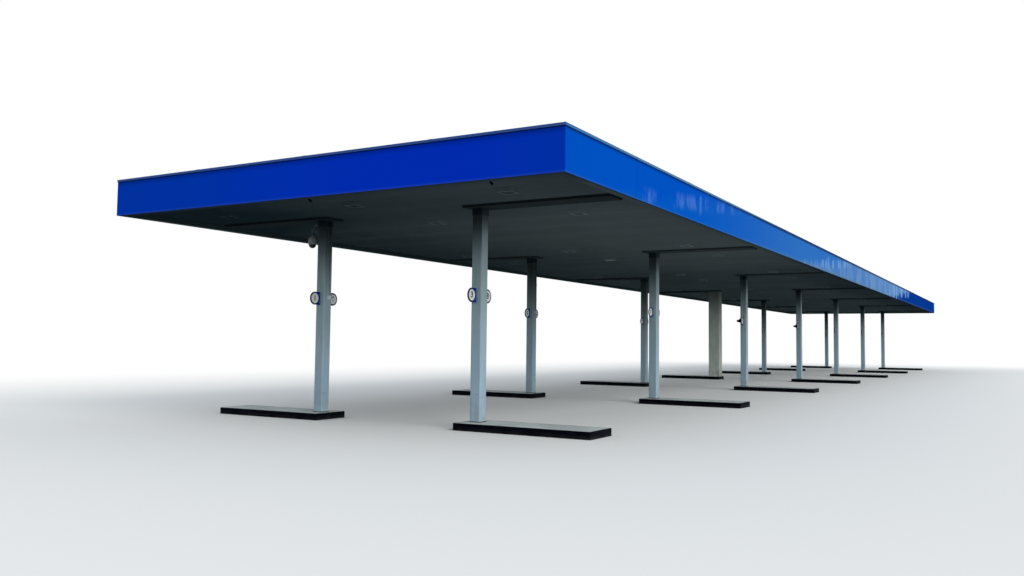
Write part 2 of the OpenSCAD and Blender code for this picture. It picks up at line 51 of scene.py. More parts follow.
eye = (-22.74, -5.99, 0.90)
heading, pitch, roll = [math.radians(angle) for angle in (30.3, 3.55, 0.65)]
ahead = Vector((math.cos(heading) * math.cos(pitch), math.sin(heading) * math.cos(pitch),
                math.sin(pitch)))
level = Vector((math.sin(heading), -math.cos(heading), 0.0))
above = level.cross(ahead)
across = level * math.cos(roll) + above * math.sin(roll)
upward = above * math.cos(roll) - level * math.sin(roll)
facing_ahead = Matrix((across, upward, -ahead)).transposed().to_4x4()
camera = placed("camera", bpy.data.cameras.new("camera"))
camera.matrix_world = Matrix.Translation(eye) @ facing_ahead
camera.data.sensor_width = 36.0
camera.data.lens = 30.9
camera.data.clip_end = 600.0
bpy.context.scene.camera = camera
bpy.context.scene.view_settings.view_transform = "Standard"


# ISLANDS
# Each column stands in a raised kerb of pressed steel channel, set on the ground and filled
# with concrete. The steel is black and scuffed, and the concrete is trowelled flush with it,
# with a bead of sealant along the steel and round the column's foot.
class Tone:
    """An output in a finish's nodes. Sums, differences and products add Math nodes."""

    def __init__(self, tree, socket=None):
        self.tree = tree
        self.socket = socket

    def node(self, kind, settings=(), sockets=(), output=0):
        """Adds one node of any kind: its settings first, then its sockets' values or links."""
        made = self.tree.nodes.new(kind)
        for name, value in dict(settings).items():
            setattr(made, name, value)
        for key, value in dict(sockets).items():
            if isinstance(value, Tone):
                self.tree.links.new(value.socket, made.inputs[key])
            else:
                made.inputs[key].default_value = value
        return Tone(self.tree, made.outputs[output] if made.outputs else None)

    def math(self, operation, *others):
        return self.node("ShaderNodeMath", {"operation": operation}, enumerate((self, *others)))

    def __add__(self, other):
        return self.math("ADD", other)

    def __sub__(self, other):
        return self.math("SUBTRACT", other)

    def __rsub__(self, other):
        return self.node("ShaderNodeMath", {"operation": "SUBTRACT"}, {0: other, 1: self})

    def __mul__(self, other):
        return self.math("MULTIPLY", other)

    __radd__ = __add__
    __rmul__ = __mul__

    def rise(self, low, high):
        """0 below low and 1 above high, with a soft step between. low may be the higher one."""
        return self.node("ShaderNodeMapRange", {"interpolation_type": "SMOOTHSTEP"},
                         {"Value": self, "From Min": low, "From Max": high})

    def along(self, axis):
        return self.node("ShaderNodeSeparateXYZ", (), {0: self}, axis)

    def stretched(self, *scale):
        return self.node("ShaderNodeVectorMath", {"operation": "MULTIPLY"}, {0: self, 1: scale})

    def mottle(self, scale, detail=3.0, roughness=0.55):
        """Soft patches, from about 0.2 to 0.8, with scale of them in a metre."""
        return self.node("ShaderNodeTexNoise", (), {"Vector": self, "Scale": scale,
                                                    "Detail": detail, "Roughness": roughness})

    def blend(self, start, end):
        """The colour start where this tone is 0, and end where it is 1."""
        return self.node("ShaderNodeMix", {"data_type": "RGBA"}, {0: self, 6: start, 7: end}, 2)


def tint(red, green, blue):
    """A colour as seen on a screen, 0 to 255, as the shaders take it."""
    return tuple(((c / 255 + 0.055) / 1.055) ** 2.4 for c in (red, green, blue)) + (1.0,)


def new_finish(name):
    """An empty finish, and the place of each point on the object in metres."""
    finish = bpy.data.materials.new(name)
    finish.use_nodes = True
    finish.node_tree.nodes.clear()
    return finish, Tone(finish.node_tree).node("ShaderNodeTexCoord", output="Object")


def facing(place):
    """The way that the surface faces."""
    return place.node("ShaderNodeNewGeometry", output="Normal")


def coat(place, colour, roughness, metallic=0.0, shine=0.5, height=None, depth=0.001):
    """Closes a finish: what varies is a tone, and what doesn't is set on the shader itself."""
    sockets = {"Base Color": colour, "Roughness": roughness, "Metallic": metallic,
               "Specular IOR Level": shine}
    if height is not None:
        sockets["Normal"] = place.node("ShaderNodeBump", (), {"Height": height, "Distance": depth})
    shader = place.node("ShaderNodeBsdfPrincipled", (), sockets)
    place.node("ShaderNodeOutputMaterial", (), {"Surface": shader})


def dress(finish, *nodes):
    """Gives the finish to nodes of the CAD model."""
    for node in nodes:
        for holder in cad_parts[node].material_slots:
            holder.material = finish


def circle(steps):
    """Pairs of cosine and sine, once round."""
    return [(math.cos(math.tau * s / steps), math.sin(math.tau * s / steps))
            for s in range(steps)]


def rounded(half_x, half_y, radius, z, steps=5):
    """A ring of points round a rectangle with round corners, about the origin."""
    ring = []
    for turn, (sx, sy) in enumerate(((1, 1), (-1, 1), (-1, -1), (1, -1))):
        for s in range(steps + 1):
            angle = math.pi / 2 * (turn + s / steps)
            ring.append(Vector((sx * (half_x - radius) + radius * math.cos(angle),
                                sy * (half_y - radius) + radius * math.sin(angle), z)))
    return ring


class Batch:
    """Loose parts of one kind, cut, bent or turned one by one and kept as one mesh."""

    def __init__(self):
        self.points = []
        self.faces = []

    def add(self, points, faces):
        first = len(self.points)
        self.points += [Vector(p) for p in points]
        self.faces += [[first + i for i in face] for face in faces]

    def bar(self, low, high, cut):
        """A cut length of bar or plate with its edges broken by cut."""
        ends = list(itertools.product((0, 1), repeat=3))
        points, at = [], {}
        for end in ends:
            for k in range(3):
                at[end, k] = len(points)
                points.append([(low, high)[end[j]][j] + (0 if j == k else cut - 2 * cut * end[j])
                               for j in range(3)])
        faces = [[at[end, k] for k in range(3)] for end in ends]
        for k in range(3):
            a, b = (k + 1) % 3, (k + 2) % 3

            def corner(on_k, on_a, on_b):
                spot = [0, 0, 0]
                spot[k], spot[a], spot[b] = on_k, on_a, on_b
                return tuple(spot)
            for side in (0, 1):
                faces.append([at[corner(side, u, v), k]
                              for u, v in ((0, 0), (1, 0), (1, 1), (0, 1))])
            for u, v in itertools.product((0, 1), repeat=2):
                faces.append([at[corner(0, u, v), a], at[corner(1, u, v), a],
                              at[corner(1, u, v), b], at[corner(0, u, v), b]])
        self.add(points, faces)

    def lofted(self, rings, loop=False):
        """A skin over rings of points, with both ends closed, or joined in a loop."""
        count = len(rings[0])
        points = [p for ring in rings for p in ring]
        faces = []
        for i in range(len(rings) if loop else len(rings) - 1):
            near, far = i * count, (i + 1) % len(rings) * count
            for j in range(count):
                k = (j + 1) % count
                faces.append([near + j, near + k, far + k, far + j])
        if not loop:
            faces.append(list(range(count)))
            faces.append(list(range(len(points) - count, len(points))))
        self.add(points, faces)

    def hoop(self, rings, centre):
        """A bead or trim that runs once round centre; its rings are given about the origin."""
        self.lofted([[p + Vector(centre) for p in ring] for ring in rings], loop=True)

    def turned(self, profile, at, axis, steps=16):
        """A lathe part: profile holds pairs of radius and height from at, along axis."""
        turn = Vector((0, 0, 1)).rotation_difference(Vector(axis))
        finest = 1e-5
        self.lofted([[Vector(at) + turn @ Vector((max(r, finest) * c, max(r, finest) * s, h))
                      for c, s in circle(steps)] for r, h in profile])

    def screw(self, head, at, axis, steps=8):
        """A low round head of radius, shoulder radius, shoulder height and height."""
        radius, shoulder, shoulder_up, up = head
        self.turned([(0, 0), (radius, 0), (shoulder, shoulder_up), (0, up)], at, axis, steps)

    def bolt(self, at, axis, size):
        """A hexagon head, size across its flats, on a washer."""
        washer, thick, corner, edge = size * 0.85, size * 0.1, size * 0.577, size * 0.46
        self.turned([(0, 0), (washer, 0), (washer, thick), (0, thick)], at, axis, 12)
        top = Vector(at) + Vector(axis).normalized() * size * 0.1
        self.turned([(0, 0), (corner, 0), (corner, size * 0.42), (edge, size * 0.5),
                     (0, size * 0.5)], top, axis, 6)

    def pipe(self, path, radius, steps=8):
        """A bent pipe along a path of points, with mitred bends."""
        path = [Vector(p) for p in path]
        side = (path[1] - path[0]).orthogonal().normalized()
        rings = []
        for i, p in enumerate(path):
            before = (p - path[i - 1]).normalized() if i else (path[1] - p).normalized()
            after = (path[i + 1] - p).normalized() if i + 1 < len(path) else before
            way = (before + after).normalized()
            side = (side - way * side.dot(way)).normalized()
            other = way.cross(side)
            stretch = 1 / max(before.dot(way), 0.5)
            rings.append([p + radius * stretch ** 0.5 * (c * side + s * other)
                          for c, s in circle(steps)])
        self.lofted(rings)

    def piece(self, name, finish, slot, smooth_below=35):
        """Keeps all parts as one piece, with the normals out and sharp edges above an angle."""
        mesh = bpy.data.meshes.new(name)
        mesh.from_pydata([tuple(p) for p in self.points], [], self.faces)
        shell = bmesh.new()
        shell.from_mesh(mesh)
        bmesh.ops.recalc_face_normals(shell, faces=shell.faces)
        shell.to_mesh(mesh)
        shell.free()
        mesh.polygons.foreach_set("use_smooth", [True] * len(mesh.polygons))
        mesh.set_sharp_from_angle(angle=math.radians(smooth_below))
        mesh.materials.append(finish)
        made = placed(name, mesh)
        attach(made, "root")


sides = (-1, 1)
lines = [-15.0 + 5.0 * i for i in range(7)]
row_y = 1.075
column_half = 0.0625
island_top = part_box("front_island_slabs")[1][2]
slab_half_x, slab_half_y, slab_corner, slab_out = 0.25, 0.775, 0.020, 0.625

form_finish, place = new_finish("black_form_steel")
scuffs = place.stretched(1.0, 1.0, 3.5).mottle(9.0, 5.0, 0.65).rise(0.52, 0.66)
low_dust = place.along(2).rise(0.05, 0.0) * place.mottle(4.0).rise(0.35, 0.6)
rust = place.mottle(26.0, 4.0).rise(0.62, 0.72) * place.along(2).rise(0.04, 0.075)
colour = scuffs.blend(tint(2, 6, 16), tint(18, 23, 32))
colour = (low_dust * 0.25).blend(colour, tint(66, 66, 64))
colour = (rust * 0.3).blend(colour, tint(60, 40, 30))
coat(place, colour, scuffs * 0.2 + 0.6, shine=0.02, height=place.mottle(60.0), depth=0.0008)
dress(form_finish, "front_island_forms", "rear_island_forms")

slab_finish, place = new_finish("island_concrete")
broad = place.mottle(2.2, 4.0, 0.6)
grit = place.mottle(85.0, 2.0, 0.7)
stain = place.mottle(6.5, 5.0, 0.65).rise(0.58, 0.74)
swirl = place.stretched(3.0, 1.0, 1.0).mottle(12.0, 6.0, 0.6)
crack = place.node("ShaderNodeTexVoronoi", {"feature": "DISTANCE_TO_EDGE"},
                   {"Vector": place, "Scale": 1.4, "Randomness": 1.0}).rise(0.006, 0.0)
crack = crack * place.mottle(1.1).rise(0.5, 0.56)
colour = broad.rise(0.3, 0.7).blend(tint(194, 204, 205), tint(220, 228, 227))
colour = (grit.rise(0.45, 0.75) * 0.25).blend(colour, tint(140, 144, 141))
colour = (stain * 0.55).blend(colour, tint(104, 108, 106))
colour = (crack * 0.6).blend(colour, tint(66, 68, 66))
coat(place, colour, 0.9, shine=0.15, height=swirl * 0.5 + grit * 0.3 - crack, depth=0.002)
dress(slab_finish, "front_island_slabs", "rear_island_slabs")

sealant_finish, place = new_finish("grey_sealant")
coat(place, place.mottle(30.0).rise(0.3, 0.7).blend(tint(58, 59, 58), tint(88, 88, 85)), 0.7,
     height=place.mottle(120.0), depth=0.0006)
# Both beads are given by steps off the steel, and up from the slab.
foot_bead = [rounded(column_half + out, column_half + out, 0.014 + out, island_top + up)
             for out, up in ((0.0005, -0.001), (0.011, -0.001), (0.009, 0.003), (0.004, 0.007),
                             (0.0005, 0.011))]
edge_bead = [rounded(slab_half_x - inset, slab_half_y - inset, max(slab_corner - inset, 0.004),
                     island_top + up)
             for inset, up in ((0.012, -0.0005), (0.0125, 0.0012), (0.0155, 0.0012),
                               (0.016, -0.0005))]
sealant = Batch()
for x, side in itertools.product(lines, sides):
    sealant.hoop(foot_bead, (x, side * row_y, 0.0))
    sealant.hoop(edge_bead, (x, side * (row_y + slab_out), 0.0))
sealant.piece("island_sealant", sealant_finish, "concrete")


# COLUMNS
# Square steel tubes with round corners, painted light grey-blue; the paint has run a little.
# Painted shade darkens the heads, less on the lit front side and further down in the rear row.
# Dust and scuffs gather near the foot, and a screwed plate closes a wiring hole by the aisle.
column_finish, place = new_finish("grey_blue_column_paint")
height = place.along(2)
runs = place.stretched(1.0, 1.0, 0.08).mottle(34.0, 4.0, 0.6)
clouds = place.stretched(1.0, 1.0, 0.4).mottle(5.0, 4.0)
grime = height.rise(0.42, 0.08) * place.mottle(7.0, 5.0).rise(0.3, 0.62)
scuffs = place.stretched(1.0, 1.0, 5.0).mottle(14.0, 4.0).rise(0.6, 0.7)
scuffs = height.rise(0.55, 0.3) * height.rise(0.12, 0.3) * scuffs
rear = place.along(1).rise(0.0, 0.5)
inner = place.along(0).rise(-14.0, -11.0)
front = facing(place).along(1).rise(-0.4, -0.8)
# Painted shade on the heads: it starts lower in the rear row and the inner lines, and is weaker on
# lit front faces.
lit_front_row_faces = front * (1.0 - rear)
head_shade_from = 1.57 - inner * 0.12 - rear * inner * 0.4 - rear * front * 0.25 + lit_front_row_faces * 0.4
head_shade_streaks = place.stretched(1.0, 1.0, 0.15).mottle(30.0, 3.0).rise(-0.6, 0.5)
painted_head_shade = height.rise(head_shade_from, 2.24) * (0.88 - lit_front_row_faces * 0.26) * head_shade_streaks
colour = height.rise(0.5, 1.7).blend(tint(158, 184, 200), tint(166, 188, 191))
colour = (clouds.rise(0.3, 0.7) * 0.3).blend(colour, tint(190, 210, 220))
colour = (runs.rise(0.5, 0.72) * 0.35).blend(colour, tint(136, 158, 172))
# The heads are darkened in streaks with painted shade.
colour = painted_head_shade.blend(colour, tint(6, 16, 21))
colour = (grime * 0.4).blend(colour, tint(136, 136, 128))
colour = (scuffs * 0.6).blend(colour, tint(92, 100, 106))
coat(place, colour, runs.rise(0.3, 0.8) * 0.15 + 0.45, shine=0.06,
     height=runs * 0.5 + clouds * 0.5, depth=0.0012)
dress(column_finish, "front_columns", "rear_columns")

plate_half, plate_thick, plate_low, plate_high = 0.03, 0.004, 0.29, 0.39
plate_screw = (0.004, 0.0035, 0.002, 0.0026)
plates = Batch()
for x, side in itertools.product(lines, sides):
    face = side * (row_y - column_half)
    outer = face - side * plate_thick
    low, high = sorted((face, outer))
    plates.bar((x - plate_half, low, plate_low), (x + plate_half, high, plate_high), 0.0015)
    for dx, z in itertools.product((-0.023, 0.023), (plate_low + 0.007, plate_high - 0.007)):
        plates.screw(plate_screw, (x + dx, outer, z), (0, -side, 0), 10)
plates.piece("wiring_hole_plates", column_finish, "column_paint")

collar_finish, place = new_finish("black_collar_paint")
streaks = place.stretched(1.0, 1.0, 0.2).mottle(30.0, 3.0)
colour = streaks.rise(0.35, 0.7).blend(tint(38, 56, 66), tint(48, 64, 72))
# Collar faces looking to the front, in the front row, are painted lighter: painted light on the
# lit side.
front = facing(place).along(1).rise(-0.4, -0.8)
colour = (front * place.along(1).rise(0.5, 0.0) * 0.8).blend(colour, tint(92, 108, 114))
coat(place, colour, 0.6, shine=0.02, height=streaks, depth=0.0006)
dress(collar_finish, "column_collars")

collar_half, collar_z, collar_bolt = 0.0685, 2.25, 0.009
collar_screws = Batch()
for x, side, turn, along in itertools.product(lines, sides, sides, (-0.04, 0.04)):
    collar_screws.bolt((x + turn * collar_half, side * row_y + along, collar_z),
                       (turn, 0, 0), collar_bolt)
    if side == turn:
        collar_screws.bolt((x + along, side * (row_y - collar_half), collar_z),
                           (0, -side, 0), collar_bolt)
collar_screws.piece("collar_screws", collar_finish, "collar_paint")


# COLUMN CLADDING
# One rear column is boxed in with beige folded sheet, from the island to the arm's tray, to hide
# services. It has a lap joint up each side, corner beads, and a skirting at its foot.
cladding_finish, place = new_finish("beige_cladding_sheet")
dents = place.stretched(1.0, 1.0, 0.7).mottle(6.0, 2.0)
drips = place.stretched(1.0, 1.0, 0.07).mottle(28.0, 4.0)
splashes = place.along(2).rise(0.4, 0.08) * place.mottle(9.0).rise(0.35, 0.6)
colour = dents.rise(0.3, 0.7).blend(tint(196, 205, 196), tint(209, 217, 207))
colour = (drips.rise(0.55, 0.75) * 0.35).blend(colour, tint(164, 166, 152))
colour = (splashes * 0.5).blend(colour, tint(120, 112, 98))
# Towards the top, under the roof, the sheet is darkened with painted shade.
colour = (place.along(2).rise(1.6, 2.25) * 0.62).blend(colour, tint(66, 76, 78))
coat(place, colour, 0.55, shine=0.1, height=dents, depth=0.004)
dress(cladding_finish, "column_cladding")

cladding_half, bead_wide, bead_thick = 0.135, 0.02, 0.0015
bead_low, bead_high = 0.11, 2.296
trims = Batch()
for sx, sy in itertools.product(sides, repeat=2):
    corner = (sx * (cladding_half + bead_thick), row_y + sy * (cladding_half + bead_thick))
    for wide_x, wide_y in ((bead_wide, bead_thick), (bead_thick, bead_wide)):
        low_x, high_x = sorted((corner[0], corner[0] - sx * wide_x))
        low_y, high_y = sorted((corner[1], corner[1] - sy * wide_y))
        trims.bar((low_x, low_y, bead_low), (high_x, high_y, bead_high), 0.0005)
skirting = ((0.0002, 0.076), (0.005, 0.076), (0.005, 0.118), (0.002, 0.122), (0.0002, 0.122))
trims.hoop([rounded(cladding_half + out, cladding_half + out, 0.004, z) for out, z in skirting],
           (0, row_y, 0))
bead_screw, screw_in = (0.004, 0.0032, 0.0018, 0.0022), 0.124
for k in range(9):
    z = 0.16 + 0.24 * k
    for sx, sy in itertools.product(sides, repeat=2):
        face = cladding_half + bead_thick
        trims.screw(bead_screw, (sx * face, row_y + sy * screw_in, z), (sx, 0, 0))
        trims.screw(bead_screw, (sx * screw_in, row_y + sy * face, z), (0, sy, 0))
trims.piece("cladding_trims", cladding_finish, "cladding")


# ROOF FRAME
# Arms and tie beams are welded from plate and bolted to the columns; purlins hang between them
# on clip plates. All of it, bolts too, is painted grey-green and dusty on top. Below the
# ceiling each arm is boxed in by a shallow folded tray of coated sheet.
def facing_up(place):
    return facing(place).along(2)


frame_finish, place = new_finish("grey_green_frame_paint")
patches = place.mottle(4.0, 4.0)
dust = facing_up(place).rise(0.3, 0.8) * place.mottle(3.0, 5.0).rise(0.25, 0.6)
rust = place.mottle(18.0, 5.0, 0.65).rise(0.66, 0.76)
colour = patches.rise(0.3, 0.7).blend(tint(124, 146, 148), tint(142, 164, 164))
colour = (dust * 0.6).blend(colour, tint(150, 144, 130))
colour = (rust * 0.6).blend(colour, tint(106, 70, 48))
coat(place, colour, dust * 0.25 + 0.65, shine=0.0, height=place.mottle(50.0), depth=0.0006)
dress(frame_finish, "front_arms", "rear_arms", "tie_beams", "front_purlins", "rear_purlins",
      "end_channels", "column_caps")

cap_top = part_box("column_caps")[1][2]
end_plate_out = row_y + column_half + 0.008
end_plate_spots = list(itertools.product((-0.045, 0.045), (2.352, 2.388, 2.426)))
cap_spots = list(itertools.product((-0.058, 0.058), repeat=2))
purlin_ys, purlin_outer, purlin_inner = (0.475, 1.425, 2.375), 0.007, -0.002
purlin_spots = list(itertools.product((-0.085, 0.085), (2.395, 2.435)))
head_bolt, purlin_bolt = 0.018, 0.014
bolts = Batch()
for x, side in itertools.product(lines, sides):
    for dx, z in end_plate_spots:
        bolts.bolt((x + dx, side * end_plate_out, z), (0, side, 0), head_bolt)
    for dx, dy in cap_spots:
        bolts.bolt((x + dx, side * row_y + dy, cap_top), (0, 0, 1), head_bolt)
    for y, (dx, z) in itertools.product(purlin_ys[1:], purlin_spots):
        bolts.bolt((x + dx, side * (y + purlin_outer), z), (0, side, 0), purlin_bolt)
        bolts.bolt((x + dx, side * (y + purlin_inner), z), (0, -side, 0), purlin_bolt)
    for dx, z in purlin_spots:
        bolts.bolt((x + dx, side * (purlin_ys[0] + purlin_outer), z), (0, side, 0), purlin_bolt)
bolts.piece("frame_bolts", frame_finish, "frame_paint")

cover_finish, place = new_finish("grey_green_cover_sheet")
drift = place.stretched(1.0, 0.5, 1.0).mottle(1.6, 4.0, 0.6)
drips = place.mottle(7.0, 5.0, 0.62).rise(0.56, 0.75)
# The covers are painted paler towards the front's left end: painted light, as on the ceiling.
pale = place.along(0).rise(-17.0, -11.0) * (1.0 - place.along(0).rise(-9.0, 1.0) * 0.75)
pale = pale * (1.0 - place.along(1).rise(0.0, 1.2) * 0.45)
# Faces looking along the roof are darker: painted shade on the covers' flanks.
flank = facing(place).along(0).math("ABSOLUTE").rise(0.5, 0.9)
colour = (pale + drift * 0.4 - 0.2).blend(tint(56, 67, 70), tint(98, 107, 108))
colour = (drips * 0.25).blend(colour, tint(56, 66, 66))
colour = (flank * 0.2).blend(colour, tint(34, 44, 48))
coat(place, colour, 0.7, shine=0.0, height=drift, depth=0.001)
dress(cover_finish, "arm_covers")


# DECK
# Roll-formed flat pans hang between the purlins with their ribs up, so from below the ceiling
# is flat with a fine joint every half metre of the real roof. The coating is a dull grey-green;
# the top carries blown dust and dried puddles, and each rib is clipped to each purlin.
def ceiling_painted_light(place):
    """Painted light and shade on the ceiling: palest near the front's left end, darkest at the
    back.
    """
    x, y = place.along(0), place.along(1)
    fade = y.rise(4.6, -2.2) - x.rise(-13.2, -15.6) * 0.42
    return fade + x.rise(-11.0, -2.5) * (0.5 - y.rise(-1.2, -2.4) * 0.25 - fade)


pan_wide, clipped_to = 0.25, 16.15
deck_finish, place = new_finish("grey_green_deck_sheet")
up = facing_up(place).rise(0.2, 0.6)
pans = place.along(0) * (1 / pan_wide) + 0.5
shade = place.node("ShaderNodeTexWhiteNoise", {"noise_dimensions": "1D"},
                   {"W": pans.math("FLOOR")})
drift = place.stretched(0.5, 1.0, 1.0).mottle(0.9, 4.0, 0.6)
drips = place.stretched(3.0, 0.25, 1.0).mottle(5.0, 5.0, 0.62)
joint = (pans.math("FRACT") - 0.5).math("ABSOLUTE").rise(0.47, 0.495)
puddle = place.stretched(0.6, 1.0, 1.0).mottle(1.7, 4.0, 0.55)
# The ceiling's paleness across the roof is painted light and shade; pans and drift vary it at
# random.
under = ceiling_painted_light(place) + shade * 0.12 + drift * 0.36 - 0.24
under = under.blend(tint(52, 72, 80), tint(131, 142, 145))
under = (drips.rise(0.56, 0.75) * 0.25).blend(under, tint(80, 92, 92))
under = (joint * 0.25).blend(under, tint(62, 74, 78))
over = drift.rise(0.3, 0.7).blend(tint(146, 152, 148), tint(170, 175, 169))
over = (puddle.rise(0.5, 0.66) * 0.6).blend(over, tint(128, 120, 104))
over = (place.mottle(70.0).rise(0.6, 0.7) * 0.4).blend(over, tint(92, 86, 76))
coat(place, up.blend(under, over), up * 0.2 + 0.6, shine=0.0, height=drift + drips * 0.3,
     depth=0.002)
dress(deck_finish, "deck_left_end", "deck_right_end", *[f"deck_bay_{i}" for i in range(1, 7)])

clip_finish, place = new_finish("galvanised_steel")
spangle = place.node("ShaderNodeTexVoronoi", (), {"Vector": place, "Scale": 60.0}, 1).along(0)
dust = facing_up(place).rise(0.3, 0.8) * place.mottle(4.0, 5.0).rise(0.3, 0.65)
colour = spangle * 0.6 + place.mottle(6.0) * 0.4
colour = colour.blend(tint(128, 135, 138), tint(168, 174, 176))
colour = (dust * 0.5).blend(colour, tint(140, 132, 118))
coat(place, colour, spangle * 0.12 + 0.42, metallic=0.35, height=place.mottle(40.0), depth=0.0004)

ribs = [x + side * pan_wide * (k + 0.5) for x in lines for side in sides for k in range(10)]
ribs = sorted({round(rib, 4) for rib in ribs if abs(rib) < clipped_to})
clip_half, clip_deep, clip_low, clip_high, arm_room = 0.012, 0.014, 2.3655, 2.3745, 0.11
clips = Batch()
for x in ribs:
    for y, side in itertools.product(purlin_ys, sides):
        if min(abs(x - line) for line in lines) > arm_room:
            edge = side * y - 0.025
            low_x, high_x, low_y = x - clip_half, x + clip_half, edge - clip_deep
            clips.bar((low_x, low_y, clip_low), (high_x, edge - 0.001, clip_high), 0.001)
            clips.bar((low_x, low_y, 2.3690), (high_x, edge + 0.010, 2.3720), 0.0008)
            clips.bolt((x, edge - 0.0075, clip_high), (0, 0, 1), 0.007)
clips.piece("deck_clips", clip_finish, "galvanised")


# GUTTERS
# An open trough of galvanised sheet runs along each long side on the fascia's bottom return.
# Straps stiffen it, and a dome strainer stands over each outlet at a column line.
dress(clip_finish, "front_gutter", "rear_gutter")
gutter_y, strap_ys, strap_step, strap_half = 2.780, (2.7405, 2.8205), 0.625, 0.008
# A strainer's ring, and its wires' bends as steps out from its middle and heights.
strainer_ring, strainer_foot = ((0, 0), (0.026, 0), (0.026, 0.002), (0, 0.002)), 2.280
wire_bends, wire_radius = ((0.022, 2.2805), (0.018, 2.305), (0.002, 2.316)), 0.0018
troughs = Batch()
for side in sides:
    low_y, high_y = sorted(side * y for y in strap_ys)
    for k in range(-25, 26):
        x = (k + 0.5) * strap_step
        troughs.bar((x - strap_half, low_y, 2.3215), (x + strap_half, high_y, 2.3235), 0.0005)
    for x in lines:
        for c, s in circle(8):
            troughs.pipe([(x + reach * c, side * gutter_y + reach * s, z)
                          for reach, z in wire_bends], wire_radius, 6)
        troughs.turned(strainer_ring, (x, side * gutter_y, strainer_foot), (0, 0, 1))
troughs.piece("gutter_straps_and_strainers", clip_finish, "galvanised")


# FASCIA FRAMES
# Triangular brackets of square bar reach out from the purlins and end channels, and two angle
# rails behind the panels join their posts. Each bracket is bolted through its foot.
dress(clip_finish, "front_fascia_frames", "rear_fascia_frames", "left_fascia_frames",
      "right_fascia_frames", "long_fascia_rails", "end_fascia_rails")
bolt_finish, place = new_finish("zinc_bolts")
spots = place.mottle(90.0, 4.0)
coat(place, spots.rise(0.5, 0.75).blend(tint(150, 154, 156), tint(112, 88, 66)),
     spots * 0.3 + 0.35, metallic=0.7)

bracket_step, foot_z = 1.25, 2.465
# How far out each bracket's two bolts stand, and their sizes.
long_side_bolts = ((2.425, 0.012), (2.792, 0.010))
end_bolts = ((16.265, 0.012), (16.467, 0.010))
bracket_bolts = Batch()
for side in sides:
    for k, (y, size) in itertools.product(range(-13, 13), long_side_bolts):
        bracket_bolts.bolt(((k + 0.5) * bracket_step, side * y, foot_z), (0, 0, 1), size)
    for k, (x, size) in itertools.product((-1, 0, 1), end_bolts):
        bracket_bolts.bolt((side * x, k * bracket_step, foot_z), (0, 0, 1), size)
bracket_bolts.piece("bracket_bolts", bolt_finish, "galvanised")


# FASCIA
# Folded sheet panels in a strong blue, mitred at the corners, with a grey-green return under
# the roof's edge. Painted reflections pale the long sides in slanting steps, with chalky torn
# runs along each, up to darker panels near the right end. The two ends keep a deep blue.
fascia_face = (16.5, 2.825)
slant, slant_z = 10.3, 2.45
# Each step of painted reflection: its middle along the slant, and how far its marks reach.
mark_bands = ((-13.6, 1.2), (-5.3, 1.6), (4.6, 2.6), (-1.0, 4.0))
# The strongest runs: where they are along x, their lower and upper ends, and half their width.
strong_runs = ((-13.08, 2.38, 2.59, 0.06), (-6.1, 2.33, 2.48, 0.14), (-5.55, 2.31, 2.57, 0.08),
               (-5.1, 2.39, 2.55, 0.12), (-4.5, 2.44, 2.58, 0.12), (-3.85, 2.50, 2.63, 0.14),
               (3.95, 2.27, 2.64, 0.16), (4.5, 2.27, 2.64, 0.16), (5.7, 2.37, 2.63, 0.24),
               (6.7, 2.41, 2.63, 0.2), (7.4, 2.45, 2.63, 0.22))


